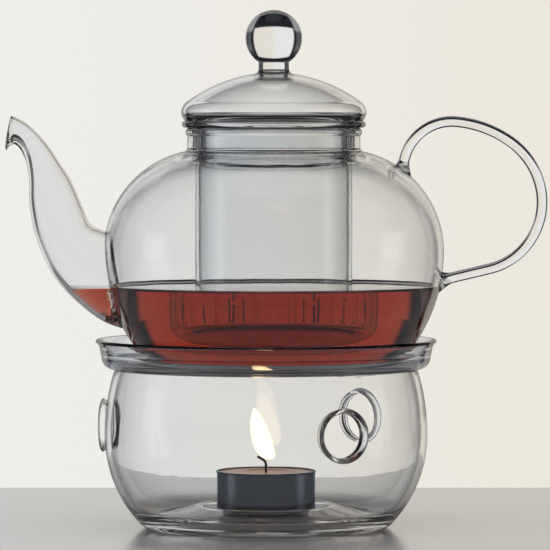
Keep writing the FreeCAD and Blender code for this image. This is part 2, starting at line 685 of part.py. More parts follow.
def infuser_cup(s):
    """Straight glass cup that hangs by its flange on the pot's rim, with fine slits near its foot."""
    no_size = Size(0)
    in_r = s.infuser_r - s.infuser_wall
    in_round = s.infuser_round - s.infuser_wall
    top_z = s.rim_z + s.flange_high
    cup = revolved("infuser_turned", [
        (0, s.infuser_z),
        (s.infuser_r - s.infuser_round, s.infuser_z),
        (s.infuser_r, s.infuser_z + s.infuser_round, s.infuser_round),
        (s.infuser_r, s.rim_z - s.flange_root),
        (s.infuser_r + s.flange_root, s.rim_z, no_size - s.flange_root),
        (s.flange_r, s.rim_z),
        (s.flange_r, top_z, s.flange_round),
        (in_r + s.infuser_mouth, top_z),
        (in_r, top_z - s.infuser_mouth, s.infuser_mouth),
        (in_r, s.infuser_z + s.infuser_floor + in_round),
        (in_r - in_round, s.infuser_z + s.infuser_floor, no_size - in_round),
        (0, s.infuser_z + s.infuser_floor),
    ])
    blade = doc.addObject("Part::Box", "slit_blade")
    blade.setExpression("Length", s.infuser_r.formula)
    blade.setExpression("Width", s.slit_wide.formula)
    blade.setExpression("Height", (s.slit_high_z - s.slit_low_z).formula)
    blade.setExpression("Placement.Base.x", (s.infuser_r / 2).formula)
    blade.setExpression("Placement.Base.y", (no_size - s.slit_wide / 2).formula)
    blade.setExpression("Placement.Base.z", s.slit_low_z.formula)
    doc.recompute()
    axis = FreeCAD.Vector(0, 0, 1)
    blades = doc.addObject("Part::Feature", "slit_blades")
    blades.Shape = Part.makeCompound([
        blade.Shape.rotated(FreeCAD.Vector(0, 0, 0), axis, number * FULL_TURN / SLIT_COUNT)
        for number in range(SLIT_COUNT)
    ])
    return cut("infuser_cup", cup, blades)


def lid(s):
    """Domed lid: blown dome with an inner shelf, a skirt tube and a solid ball knob on a neck."""
    foot_z = s.rim_z + s.flange_high
    no_size = Size(0)
    dome = revolved("lid_dome", [
        (s.skirt_r, foot_z),
        (s.lid_foot_r, foot_z),
        (s.lid_r, s.lid_wide_z, s.lid_foot_round),
        (s.lid_brow_r, s.lid_brow_z, s.lid_brow_round),
        (s.lid_top_r, s.lid_top_z, s.lid_dome_round),
        (0, s.lid_top_z),
        (0, s.lid_top_z - s.lid_wall),
        (s.lid_top_r, s.lid_top_z - s.lid_wall),
        (s.lid_brow_in_r, s.lid_brow_in_z, no_size - (s.lid_dome_round - s.lid_wall)),
        (s.lid_r - s.lid_wall, s.lid_wide_z, no_size - (s.lid_brow_round - s.lid_wall)),
        (s.lid_foot_in_r, foot_z + s.lid_wall, no_size - s.lid_wall),
        (s.skirt_r, foot_z + s.lid_wall),
    ])
    in_r = s.skirt_r - s.skirt_wall
    half_wall = s.skirt_wall / 2
    skirt = revolved("lid_skirt", [
        (in_r, s.skirt_z + half_wall),
        (s.skirt_r, s.skirt_z + half_wall, half_wall + s.melt),
        (s.skirt_r, foot_z + s.lid_wall),
        (in_r, foot_z + s.lid_wall),
    ])
    ball_low_z = s.knob_z * 2 - height_on_arc(s.knob_z, s.knob_r, s.knob_neck_r)
    knob = revolved("lid_knob", [
        (0, s.lid_top_z),
        (s.lid_top_r, s.lid_top_z),
        (s.knob_neck_r, s.knob_flare_z, no_size - s.knob_flare),
        (s.knob_neck_r, ball_low_z),
        (0, s.knob_z + s.knob_r, s.knob_r),
    ])
    return [dome, skirt, knob]


def build():
    """Every sub-part, in the order of the assembly from the table up."""
    s = Sheet(SIZES)
    doc.recompute()
    parts = [warmer_bowl(s), warmer_tray(s)]
    parts += [vent_collar(s, vent) for vent in VENTS]
    parts += tealight(s)

    envelope_top = [(s.neck_root_r, s.rim_z), (0, s.rim_z)]
    envelope = revolved("pot_envelope", pot_outside(s) + envelope_top)
    spout_outside = spout_loft("spout_outside", s, False)
    spout_bore = spout_loft("spout_bore", s, True)
    parts.append(pot_bowl(s, spout_bore))
    parts.append(cut("spout", cut("spout_tube", spout_outside, spout_bore), envelope))
    parts.append(tea(s))

    parts.append(handle_rod(s))
    tilt = math.radians(s.handle_tilt.value)
    start = (s.handle_x.value, s.handle_z.value)
    end_x, end_z, end_heading = path_end(start, tilt, handle_path(s))
    parts.append(handle_collar("handle_lower_collar", s, *start, tilt + math.pi, envelope))
    parts.append(handle_collar("handle_upper_collar", s, end_x, end_z, end_heading, envelope))

    parts.append(infuser_cup(s))
    parts += lid(s)
    doc.recompute()
    return parts


def check(parts):
    """Stop if any object failed, or a sub-part is missing, invalid or not one solid."""
    for item in doc.Objects:
        if "Invalid" in item.State or "Error" in item.State:
            raise RuntimeError("failed: " + item.Label)
    for part in parts:
        if part.Shape.isNull() or not part.Shape.isValid():
            raise RuntimeError("bad shape: " + part.Label)
        if len(part.Shape.Solids) != 1:
            raise RuntimeError("%s has %d solids" % (part.Label, len(part.Shape.Solids)))


def export(parts):
    os.makedirs("parts", exist_ok=True)
    for part in parts:
        part.Shape.exportStep("parts/%s.step" % part.Label)
        box = part.Shape.optimalBoundingBox()
        print("%-20s x %7.2f %7.2f  z %7.2f %7.2f  volume %9.1f" % (
            part.Label, box.XMin, box.XMax, box.ZMin, box.ZMax, part.Shape.Volume))


parts = build()
check(parts)
export(parts)
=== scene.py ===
import bmesh
import bpy
import math
from mathutils import Matrix, Vector


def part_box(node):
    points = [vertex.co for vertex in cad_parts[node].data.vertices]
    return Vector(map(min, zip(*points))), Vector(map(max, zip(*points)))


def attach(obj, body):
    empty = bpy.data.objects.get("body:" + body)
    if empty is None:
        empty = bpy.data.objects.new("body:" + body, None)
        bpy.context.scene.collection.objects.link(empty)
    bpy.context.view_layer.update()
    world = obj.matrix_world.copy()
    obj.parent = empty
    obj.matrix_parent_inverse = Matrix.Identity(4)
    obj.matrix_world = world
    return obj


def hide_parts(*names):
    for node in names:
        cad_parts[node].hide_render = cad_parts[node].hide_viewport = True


# Glass teapot on its warmer. Outlines are in millimetres, as (distance from the axis, height),
# and go round the glass with the glass on their left. An outline's corner is (across, up) or,
# where an arc leads to it, (across, up, radius): positive turns left, negative right.

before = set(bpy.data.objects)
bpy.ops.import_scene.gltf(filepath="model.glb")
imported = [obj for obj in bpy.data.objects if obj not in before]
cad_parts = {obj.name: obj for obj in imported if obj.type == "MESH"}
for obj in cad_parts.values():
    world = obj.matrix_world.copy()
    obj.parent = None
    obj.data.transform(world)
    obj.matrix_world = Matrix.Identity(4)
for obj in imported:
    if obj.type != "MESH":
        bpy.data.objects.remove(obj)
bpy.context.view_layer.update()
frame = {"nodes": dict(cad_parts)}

MM = 0.001
TURN_STEPS = 240
ARC_STEP = math.radians(2.5)

# A flame rounds a corner that turns by more than this, in this many steps, and takes at most
# this share of the run on each side of it.
SHARP_TURN = math.radians(12.0)
ROUND_STEPS = 6
ROUND_SHARE = 0.45


def box_mm(node):
    low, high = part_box(node)
    return Vector(low) / MM, Vector(high) / MM


def middle_x(node):
    low, high = box_mm(node)
    return (low.x + high.x) / 2


def top_z(node):
    return box_mm(node)[1].z


# Places that the frame gives.
WARMER_X = middle_x("warmer_tray")
TABLE_Z = 0.0
WARMER_NECK_Z = top_z("warmer_bowl")
LEDGE_Z = box_mm("pot_bowl")[0].z
RIM_Z = top_z("pot_bowl")
FLANGE_Z = top_z("infuser_cup")
DOME_Z = top_z("lid_dome")
TEA_Z = top_z("tea")
BELLY_R = box_mm("pot_bowl")[1].y

# The weld between two glass pieces, or between tea and glass, is an overlap this deep.
WELD = 0.2

# Warmer: its widest place, its neck, and its vents, each with its turn about Z from +X.
WARMER_BELLY = (62.2, 36.0)
WARMER_NECK_R = 58.2
VENT_Z = 39.2
VENT_NECK_R = 9.6
VENT_BORE_R = 8.5
VENT_TURNS = {"vent_collar_left": 174.0, "vent_collar_front": 297.5, "vent_collar_back": 52.0}

# Pot: the height of its belly, the arcs of its base corner and shoulder, and its walls.
BELLY_Z = 106.5
BELLY_WALL = 1.6
BASE_WALL = 2.0
BASE_ROUND_R = 44.6
BASE_ROUND = 8.0
SHOULDER = 39.5
IN_SHOULDER = 37.1
NECK_ROOT_R = 34.8

# Spout sections from inside the pot to the mouth: centre across and up, heading in degrees,
# height and width of the ellipse, mean wall, and how far the bore lies towards the upper side.
SPOUT_SECTIONS = [
    (-54.0, 94.6, 176.0, 37.0, 30.0, 1.3, 0.4),
    (-61.0, 95.6, 176.0, 35.0, 29.5, 1.3, 0.4),
    (-65.4, 97.2, 172.0, 33.0, 28.5, 1.3, 0.4),
    (-70.6, 100.8, 161.0, 29.5, 26.5, 1.3, 0.4),
    (-76.0, 105.4, 146.0, 25.4, 24.2, 1.3, 0.4),
    (-79.5, 110.2, 134.0, 22.6, 22.4, 1.3, 0.4),
    (-83.0, 118.9, 121.0, 21.2, 20.2, 1.3, 0.4),
    (-86.05, 129.2, 120.0, 18.45, 17.0, 1.3, 0.4),
    (-88.3, 137.1, 121.0, 13.8, 13.2, 1.3, 0.4),
    (-90.9, 143.8, 126.0, 10.7, 10.4, 1.35, 0.45),
    (-93.9, 148.4, 138.0, 9.3, 9.1, 1.45, 0.6),
    (-96.9, 151.5, 157.0, 9.3, 9.1, 1.5, 0.6),
    (-100.0, 153.0, 174.0, 10.5, 10.2, 1.5, 0.6),
    (-102.3, 152.2, 170.0, 13.5, 12.6, 1.5, 0.6),
]

# Handle: the rod's radius, its lower end and heading, and its runs and arcs as (size, turn in
# degrees): a run's size is its length, an arc's its radius. Each end flares over the lead.
ROD_R = 2.1
ROD_START = (68.3, 96.4)
ROD_HEADING = 13.4
ROD_PIECES = [(15.1, 0.0), (26.4, 88.2), (29.4, 43.3), (42.0, 30.8), (18.6, 80.6), (1.0, 0.0)]
ROD_FLARE = 2.5
ROD_FLARE_CURVE = 1.3
ROD_LEAD = 6.0

# Tea: how far it creeps up the glass.
MENISCUS = 0.9

# Infuser: the cup's radius, wall and floor, and its slits.
CUP_R = 30.2
CUP_WALL = 1.5
CUP_FLOOR = 1.8
CUP_ROUND = 5.0
SLIT_COUNT = 36
SLIT_LOW_Z = 84.4
SLIT_HIGH_Z = 92.2
SLIT_WIDE = 0.6

# Lid: the skirt's radii, the dome's wall, and the knob's ball and neck.
SKIRT_R = 28.2
SKIRT_BORE_R = 26.8
DOME_WALL = 1.7
BALL_R = 10.87
BALL_Z = 188.6
KNOB_ROOT_R = 7.7
KNOB_NECK_R = 5.85


# Outlines


def along(heading):
    """A step of 1 at a heading in radians."""
    return Vector((math.cos(heading), math.sin(heading)))


def arc_points(start, end, radius):
    """Points after start up to end on the arc between them."""
    chord = end - start
    side = math.copysign(1.0, radius)
    reach = math.sqrt(max(radius ** 2 - chord.length_squared / 4, 0.0))
    left = Vector((-chord.y, chord.x)).normalized()
    centre = (start + end) / 2 + left * side * reach
    first = math.atan2(start.y - centre.y, start.x - centre.x)
    sweep = 2 * math.asin(min(chord.length / 2 / abs(radius), 1.0)) * side
    count = max(3, math.ceil(abs(sweep) / ARC_STEP))
    return [
        centre + along(first + sweep * i / count) * abs(radius)
        for i in range(1, count + 1)
    ]


def outline(corners):
    """The closed outline through the corners, as points."""
    places = [Vector(corner[:2]) for corner in corners]
    points = []
    for number, corner in enumerate(corners):
        if len(corner) == 2:
            points.append(places[number])
        else:
            points += arc_points(places[number - 1], places[number], corner[2])
    return points


def upright_arc(belly, end):
    """Radius of an arc that is upright at the belly and passes the given end."""
    across = belly[0] - end[0]
    up = end[1] - belly[1]
    return (across ** 2 + up ** 2) / (2 * across)


def fire_polished(points, reach):
    """The outline with each sharp corner rounded, as a flame rounds glass."""
    polished = []
    count = len(points)
    for number, here in enumerate(points):
        before = points[number - 1] - here
        after = points[(number + 1) % count] - here
        on_axis = abs(here.x) < 1e-6
        if on_axis or min(before.length, after.length) < 1e-6:
            polished.append(here)
            continue
        turn = math.pi - before.angle(after, 0.0)
        if turn < SHARP_TURN:
            polished.append(here)
            continue
        run = min(reach, ROUND_SHARE * before.length, ROUND_SHARE * after.length)
        start = here + before.normalized() * run
        end = here + after.normalized() * run
        for i in range(ROUND_STEPS + 1):
            t = i / ROUND_STEPS
            polished.append(start * (1 - t) ** 2 + here * 2 * t * (1 - t) + end * t ** 2)
    return polished


def lathe(name, points, steps=TURN_STEPS):
    """A closed mesh made by turning a closed outline about the Z axis."""
    mesh = bmesh.new()
    rings = []
    for point in points:
        if abs(point.x) < 1e-6:
            rings.append([mesh.verts.new((0.0, 0.0, point.y * MM))])
            continue
        rings.append([
            mesh.verts.new((
                point.x * MM * math.cos(2 * math.pi * i / steps),
                point.x * MM * math.sin(2 * math.pi * i / steps),
                point.y * MM,
            ))
            for i in range(steps)
        ])
    for number, ring in enumerate(rings):
        join_rings(mesh, ring, rings[(number + 1) % len(rings)])
    return make_object(name, mesh)


def join_rings(mesh, lower, upper):
    """Faces between two rings, either of which may be a single point on the axis."""
    steps = max(len(lower), len(upper))
    if steps == 1:
        return
    for i in range(steps):
        j = (i + 1) % steps
        if len(lower) == 1:
            mesh.faces.new((lower[0], upper[j], upper[i]))
        elif len(upper) == 1:
            mesh.faces.new((lower[i], lower[j], upper[0]))
        else:
            mesh.faces.new((lower[i], lower[j], upper[j], upper[i]))


def close_tube(mesh, rings):
    """Faces from each ring to the next, and one across each end."""
    for lower, upper in zip(rings, rings[1:]):
        join_rings(mesh, lower, upper)
    mesh.faces.new(rings[0])
    mesh.faces.new(rings[-1])


def make_object(name, mesh):
    """A new object from a bmesh, with its faces pointing out."""
    bmesh.ops.recalc_face_normals(mesh, faces=mesh.faces)
    data = bpy.data.meshes.new(name)
    mesh.to_mesh(data)
    mesh.free()
    shade_smooth(data)
    item = bpy.data.objects.new(name, data)
    bpy.context.scene.collection.objects.link(item)
    return item


def shade_smooth(data):
    """Smooth shading, but for edges sharper than 50 degrees."""
    data.shade_smooth()
    data.set_sharp_from_angle(angle=math.radians(50.0))


def shift(item, matrix):
    """Move an object's mesh, so that the object itself stays at the origin."""
    item.data.transform(matrix)
    return item


def moved(x=0.0, y=0.0, z=0.0):
    """A move by so many millimetres, as a matrix."""
    return Matrix.Translation((x * MM, y * MM, z * MM))


def carve(item, tool, operation="DIFFERENCE"):
    """Cut the tool out of the item, or join it on, and delete the tool."""
    modifier = item.modifiers.new("carve", "BOOLEAN")
    modifier.operation = operation
    modifier.solver = "EXACT"
    modifier.object = tool
    graph = bpy.context.evaluated_depsgraph_get()
    data = bpy.data.meshes.new_from_object(item.evaluated_get(graph))
    item.modifiers.clear()
    item.data = data
    bpy.data.objects.remove(tool)
    shade_smooth(data)
    return item


def finish_piece(item, body, nodes, material):
    """Set the piece's finish, the body it moves with and the CAD nodes it stands for."""
    item.data.materials.clear()
    item.data.materials.append(material)
    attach(item, body)
    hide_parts(*nodes)
    return item


# Materials


def new_material(name):
    """A material with its nodes, links and shader."""
    material = bpy.data.materials.new(name)
    material.use_nodes = True
    nodes = material.node_tree.nodes
    return material, nodes, material.node_tree.links, nodes["Principled BSDF"]


def object_coordinates(nodes):
    return nodes.new("ShaderNodeTexCoord").outputs["Object"]


def add_noise(nodes, links, scale, detail=3.0):
    noise = nodes.new("ShaderNodeTexNoise")
    noise.inputs["Scale"].default_value = scale
    noise.inputs["Detail"].default_value = detail
    links.new(object_coordinates(nodes), noise.inputs["Vector"])
    return noise.outputs["Fac"]


def add_bump(nodes, links, shader, height, strength, distance):
    bump = nodes.new("ShaderNodeBump")
    bump.inputs["Strength"].default_value = strength
    bump.inputs["Distance"].default_value = distance
    links.new(height, bump.inputs["Height"])
    links.new(bump.outputs["Normal"], shader.inputs["Normal"])


def add_math(nodes, links, operation, *inputs):
    node = nodes.new("ShaderNodeMath")
    node.operation = operation
    for number, value in enumerate(inputs):
        if isinstance(value, (int, float)):
            node.inputs[number].default_value = value
        else:
            links.new(value, node.inputs[number])
    return node.outputs["Value"]


def step_between(nodes, links, value, low, high, start=0.0, end=1.0):
    """Smooth step of a value, from start below low to end above high."""
    node = nodes.new("ShaderNodeMapRange")
    node.interpolation_type = "SMOOTHSTEP"
    links.new(value, node.inputs["Value"])
    node.inputs["From Min"].default_value = low
    node.inputs["From Max"].default_value = high
    node.inputs["To Min"].default_value = start
    node.inputs["To Max"].default_value = end
    return node.outputs["Result"]


def blend_colour(nodes, links, factor, first, second):
    """A mix of two colours, each given as numbers or as a node's output."""
    node = nodes.new("ShaderNodeMix")
    node.data_type = "RGBA"
    links.new(factor, node.inputs["Factor"])
    colour_inputs = [s for s in node.inputs if s.type == "RGBA"]
    for socket, value in zip(colour_inputs, (first, second)):
        if isinstance(value, tuple):
            socket.default_value = (*value, 1.0)
        else:
            links.new(value, socket)
    return next(s for s in node.outputs if s.type == "RGBA")


def let_light_through(nodes, links, surface, colour):
    """Shadow rays pass the surface straight, so that glass doesn't cast a black shadow."""
    clear = nodes.new("ShaderNodeBsdfTransparent")
    clear.inputs["Color"].default_value = (*colour, 1.0)
    mix = nodes.new("ShaderNodeMixShader")
    path = nodes.new("ShaderNodeLightPath")
    links.new(path.outputs["Is Shadow Ray"], mix.inputs["Fac"])
    links.new(surface, mix.inputs[1])
    links.new(clear.outputs["BSDF"], mix.inputs[2])
    links.new(mix.outputs["Shader"], nodes["Material Output"].inputs["Surface"])


def glass_material(name, ior=1.47, painted_shade_density=0.0):
    """Clear glass with the slow waves of blowing, and a painted dark outline where it is seen at a
    grazing angle.

    Glass can also be darkened, bluish, along its depth, by the given density per metre: painted shade,
    which the tray's glass uses.
    """
    material, nodes, links, shader = new_material(name)
    shader.inputs["Base Color"].default_value = (0.965, 0.975, 0.985, 1.0)
    shader.inputs["Transmission Weight"].default_value = 1.0
    shader.inputs["Roughness"].default_value = 0.0
    shader.inputs["IOR"].default_value = ior
    waves = add_noise(nodes, links, 38.0, detail=2.0)
    add_bump(nodes, links, shader, waves, 0.35, 0.0004)
    # Painted shade: where the glass is seen at a grazing angle it is mixed towards a nearly black matt
    # surface, which draws a dark outline.
    edge_sharpness = 6.0
    painted_edge_darkness = 0.85
    facing = nodes.new("ShaderNodeLayerWeight")
    facing.inputs["Blend"].default_value = 0.5
    painted_edge_share = add_math(nodes, links, "POWER", facing.outputs["Facing"], edge_sharpness)
    painted_edge_share = add_math(nodes, links, "MULTIPLY", painted_edge_share, painted_edge_darkness)
    edge = nodes.new("ShaderNodeBsdfDiffuse")
    edge.inputs["Color"].default_value = (0.012, 0.015, 0.02, 1.0)
    painted_outline_mix = nodes.new("ShaderNodeMixShader")
    links.new(painted_edge_share, painted_outline_mix.inputs["Fac"])
    links.new(shader.outputs["BSDF"], painted_outline_mix.inputs[1])
    links.new(edge.outputs["BSDF"], painted_outline_mix.inputs[2])
    let_light_through(nodes, links, painted_outline_mix.outputs["Shader"], (0.89, 0.89, 0.89))
    # Painted shade: a blue-black absorption that darkens the glass along its depth.
    if painted_shade_density > 0.0:
        absorption = nodes.new("ShaderNodeVolumeAbsorption")
        absorption.inputs["Color"].default_value = (0.14, 0.20, 0.32, 1.0)
        absorption.inputs["Density"].default_value = painted_shade_density
        links.new(absorption.outputs["Volume"], nodes["Material Output"].inputs["Volume"])
    return material


def tea_material():
    """Black tea: clear, and darker the further light goes through it, with extra painted shade in the
    spout, where the tea is made denser.
    """
    material, nodes, links, shader = new_material("tea_liquid")
    shader.inputs["Base Color"].default_value = (1.0, 1.0, 1.0, 1.0)
    shader.inputs["Transmission Weight"].default_value = 1.0
    shader.inputs["Roughness"].default_value = 0.0
    shader.inputs["IOR"].default_value = 1.33
    absorption = nodes.new("ShaderNodeVolumeAbsorption")
    absorption.inputs["Color"].default_value = (0.753, 0.24, 0.06, 1.0)
    # Painted shade: the tea in the spout is made about three and a half times denser than in the bowl,
    # so that it looks darker there.
    spout_end = -64 * MM
    bowl_end = -58 * MM
    spout_painted_shade_density = 150.0
    bowl_density = 43.0
    across = nodes.new("ShaderNodeSeparateXYZ")
    links.new(object_coordinates(nodes), across.inputs["Vector"])
    density = step_between(
        nodes, links, across.outputs["X"], spout_end, bowl_end, spout_painted_shade_density, bowl_density
    )
    links.new(density, absorption.inputs["Density"])
    links.new(absorption.outputs["Volume"], nodes["Material Output"].inputs["Volume"])
    let_light_through(nodes, links, shader.outputs["BSDF"], (0.55, 0.28, 0.2))
    return material


def aluminium_material():
    """Thin drawn aluminium, satin and finely uneven, its grey darkened and tinted blue as a painted
    reflection of the dark room.
    """
    material, nodes, links, shader = new_material("cup_aluminium")
    shader.inputs["Metallic"].default_value = 1.0
    # Painted reflection: the colour and tint are darkened and made bluish to stand in for the dark room
    # that the aluminium reflects.
    shader.inputs["Base Color"].default_value = (0.25, 0.28, 0.34, 1.0)
    shader.inputs["Specular Tint"].default_value = (0.35, 0.38, 0.44, 1.0)
    noise = add_noise(nodes, links, 900.0, detail=4.0)
    roughness = nodes.new("ShaderNodeMapRange")
    roughness.inputs["To Min"].default_value = 0.16
    roughness.inputs["To Max"].default_value = 0.30
    links.new(noise, roughness.inputs["Value"])
    links.new(roughness.outputs["Result"], shader.inputs["Roughness"])
    add_bump(nodes, links, shader, noise, 0.15, 0.0001)
    return material


def wax_material():
    """Paraffin wax, clearer in the melted pool round the wick, where the flame's warm light is painted
    in as an orange-brown glow.
    """
    material, nodes, links, shader = new_material("wax")
    away = nodes.new("ShaderNodeVectorMath")
    away.operation = "DISTANCE"
    away.inputs[1].default_value = (WARMER_X * MM, 0.0, top_z("tealight_wax") * MM)
    links.new(object_coordinates(nodes), away.inputs[0])
    reach = 20 * MM
    share = add_math(nodes, links, "DIVIDE", away.outputs["Value"], reach)
    # Near the wick the wax turns orange-brown: partly the clearer melted pool, partly painted light
    # from the flame.
    pool_and_glow_colours = nodes.new("ShaderNodeValToRGB")
    pool_and_glow_colours.color_ramp.elements[0].position = 0.25
    pool_and_glow_colours.color_ramp.elements[0].color = (0.55, 0.21, 0.07, 1.0)
    pool_and_glow_colours.color_ramp.elements[1].position = 0.62
    pool_and_glow_colours.color_ramp.elements[1].color = (0.74, 0.58, 0.50, 1.0)
    links.new(share, pool_and_glow_colours.inputs["Fac"])
    links.new(pool_and_glow_colours.outputs["Color"], shader.inputs["Base Color"])
    shader.inputs["Subsurface Weight"].default_value = 0.4
    shader.inputs["Subsurface Radius"].default_value = (0.006, 0.003, 0.0015)
    shader.inputs["Subsurface Scale"].default_value = 1.0
    shader.inputs["Roughness"].default_value = 0.3
    grain = add_noise(nodes, links, 260.0)
    add_bump(nodes, links, shader, grain, 0.2, 0.0003)
    return material


def wick_material():
    """Burnt cotton: black braid."""
    material, nodes, links, shader = new_material("burnt_wick")
    shader.inputs["Base Color"].default_value = (0.012, 0.010, 0.010, 1.0)
    shader.inputs["Roughness"].default_value = 0.9
    braid = nodes.new("ShaderNodeTexWave")
    braid.inputs["Scale"].default_value = 900.0
    braid.inputs["Distortion"].default_value = 2.0
    links.new(object_coordinates(nodes), braid.inputs["Vector"])
    add_bump(nodes, links, shader, braid.outputs["Fac"], 0.6, 0.0002)
    return material


def tin_material():
    """Tinned sheet, slightly uneven."""
    material, nodes, links, shader = new_material("tinned_sheet")
    shader.inputs["Metallic"].default_value = 1.0
    shader.inputs["Base Color"].default_value = (0.62, 0.62, 0.64, 1.0)
    shader.inputs["Roughness"].default_value = 0.35
    add_bump(nodes, links, shader, add_noise(nodes, links, 700.0), 0.1, 0.0001)
    return material


GLASS = glass_material("clear_glass")
# The tray's glass is darkened along its depth as painted shade, for the tray's dark band.
SHADED_TRAY_GLASS = glass_material("tray_glass", painted_shade_density=75.0)

# Against tea instead of air, the same glass bends light by only 1.47 / 1.33.
WET_GLASS = glass_material("glass_in_tea", ior=1.11)


# Warmer


def warmer_bowl():
    """Blown bowl with a pushed-up floor, a dimple for the tealight and three holes for the vents."""
    dimple_r = 20.2
    dimple_z = 3.8
    ridge_r = 25.0
    ridge_z = 6.6
    floor_wall = 2.4
    heel = (48.7, 2.0)
    neck = (WARMER_NECK_R, WARMER_NECK_Z)
    in_neck = (56.4, WARMER_NECK_Z)
    in_belly = (60.0, WARMER_BELLY[1])
    floor_corner = (51.0, 8.6)
    points = outline([
        (0.0, dimple_z),
        (dimple_r, dimple_z),
        (ridge_r, ridge_z),
        (41.5, TABLE_Z),
        (44.3, TABLE_Z),
        (*heel, 5.8),
        (*WARMER_BELLY, upright_arc(WARMER_BELLY, heel)),
        (neck[0], neck[1] + WELD, upright_arc(WARMER_BELLY, neck)),
        (in_neck[0], in_neck[1] + WELD),
        (*in_belly, -upright_arc(in_belly, in_neck)),
        (*floor_corner, -upright_arc(in_belly, floor_corner)),
        (41.0, 4.4, -13.0),
        (ridge_r, ridge_z + floor_wall),
        (dimple_r, dimple_z + floor_wall),
        (0.0, dimple_z + floor_wall),
    ])
    bowl = lathe("warmer_bowl_glass", fire_polished(points, 1.6))
    for turn in VENT_TURNS.values():
        carve(bowl, vent_tool(turn))
    shift(bowl, moved(x=WARMER_X))
    return finish_piece(bowl, "warmer", ["warmer_bowl"], GLASS)


def radial(turn):
    """The matrix that turns the Z axis to point outwards at the vents' height."""
    return (
        Matrix.Rotation(math.radians(turn), 4, "Z")
        @ moved(z=VENT_Z)
        @ Matrix.Rotation(math.pi / 2, 4, "Y")
    )


def vent_tool(turn):
    """The air hole in the bowl, a weld smaller than the collar's neck."""
    hole_r = VENT_NECK_R - WELD
    start = 50.0
    end = 70.0
    hole = outline([(0.0, start), (hole_r, start), (hole_r, end), (0.0, end)])
    return shift(lathe("vent_tool", hole, steps=96), radial(turn))


def vent_collar(node, turn):
    """Short tube of glass with a rolled lip in one air hole; up is outwards in its outline."""
    start = 59.2
    flare_start = 61.9
    lip_r = 10.4
    lip = 63.3
    points = outline([
        (VENT_BORE_R, start),
        (VENT_NECK_R, start),
        (VENT_NECK_R, flare_start),
        (lip_r, lip, -1.7),
        (VENT_BORE_R, lip, 0.97),
    ])
    collar = lathe(node + "_glass", fire_polished(points, 0.5), steps=128)
    shift(collar, radial(turn))
    shift(collar, moved(x=WARMER_X))
    return finish_piece(collar, "warmer", [node], GLASS)


def warmer_tray():
    """Saucer: flat ledge with a hole in the middle, upright wall and flared lip."""
    hole_r = 31.0
    points = outline([
        (hole_r, WARMER_NECK_Z),
        (WARMER_NECK_R, WARMER_NECK_Z),
        (63.4, 65.8, 4.6),
        (64.1, 69.6),
        (65.5, 71.6, -3.0),
        (64.4, 72.7, 0.8),
        (62.4, 69.6, 4.4),
        (61.7, 67.5),
        (WARMER_NECK_R, LEDGE_Z, -3.6),
        (hole_r, LEDGE_Z),
    ])
    tray = lathe("warmer_tray_glass", fire_polished(points, 0.9))
    shift(tray, moved(x=WARMER_X))
    return finish_piece(tray, "warmer", ["warmer_tray"], SHADED_TRAY_GLASS)


# Pot


def side_corner(belly_r, centre_r, centre_z, corner):
    """Where the side arc meets the base round, and the side arc's radius."""
    across = belly_r - centre_r
    up = BELLY_Z - centre_z
    radius = (across ** 2 + up ** 2 - corner ** 2) / (2 * (across - corner))
    stretch = radius / (radius - corner)
    side_centre = belly_r - radius
    return side_centre + (centre_r - side_centre) * stretch, BELLY_Z - up * stretch, radius


def on_arc(centre_r, centre_z, radius, across):
    """Height of the upper half of a circle, at a distance from the axis."""
    return centre_z + math.sqrt(radius ** 2 - (across - centre_r) ** 2)


def pot_bowl():
    """Blown bowl with neck and rolled rim, open into the spout."""
    corner_z = LEDGE_Z + BASE_ROUND
    out_r, out_z, out_side = side_corner(BELLY_R, BASE_ROUND_R, corner_z, BASE_ROUND)
    in_belly = BELLY_R - BELLY_WALL
    in_round = BASE_ROUND - BASE_WALL
    in_r, in_z, in_side = side_corner(in_belly, BASE_ROUND_R, corner_z, in_round)
    neck_r = 33.3
    throat_r = 30.7
    in_root_r = 32.3
    neck_z = on_arc(BELLY_R - SHOULDER, BELLY_Z, SHOULDER, NECK_ROOT_R)
    in_neck_z = on_arc(in_belly - IN_SHOULDER, BELLY_Z, IN_SHOULDER, in_root_r)
    points = outline([
        (0.0, LEDGE_Z),
        (BASE_ROUND_R, LEDGE_Z),
        (out_r, out_z, BASE_ROUND),
        (BELLY_R, BELLY_Z, out_side),
        (NECK_ROOT_R, neck_z, SHOULDER),
        (neck_r, 146.6, -1.6),
        (neck_r, 151.1),
        (32.7, RIM_Z, 1.75),
        (31.3, RIM_Z),
        (throat_r, RIM_Z - 0.6, 0.6),
        (throat_r, in_neck_z + 1.7),
        (in_root_r, in_neck_z, 1.75),
        (in_belly, BELLY_Z, -IN_SHOULDER),
        (in_r, in_z, -in_side),
        (BASE_ROUND_R, LEDGE_Z + BASE_WALL, -in_round),
        (0.0, LEDGE_Z + BASE_WALL),
    ])
    bowl = lathe("pot_bowl_glass", fire_polished(points, 0.6))
    carve(bowl, spout_bore("bore_tool"))
    return finish_piece(bowl, "pot", ["pot_bowl"], GLASS)


def envelope_tool():
    """The space inside the pot's outer surface, less the depth of a weld."""
    belly = BELLY_R - WELD
    base_round = BASE_ROUND - WELD
    side_r, side_z, side = side_corner(belly, BASE_ROUND_R, LEDGE_Z + BASE_ROUND, base_round)
    neck_z = on_arc(BELLY_R - SHOULDER, BELLY_Z, SHOULDER - WELD, NECK_ROOT_R)
    return lathe("envelope_tool", outline([
        (0.0, LEDGE_Z + WELD),
        (BASE_ROUND_R, LEDGE_Z + WELD),
        (side_r, side_z, base_round),
        (belly, BELLY_Z, side),
        (NECK_ROOT_R, neck_z, SHOULDER - WELD),
        (0.0, neck_z),
    ]))


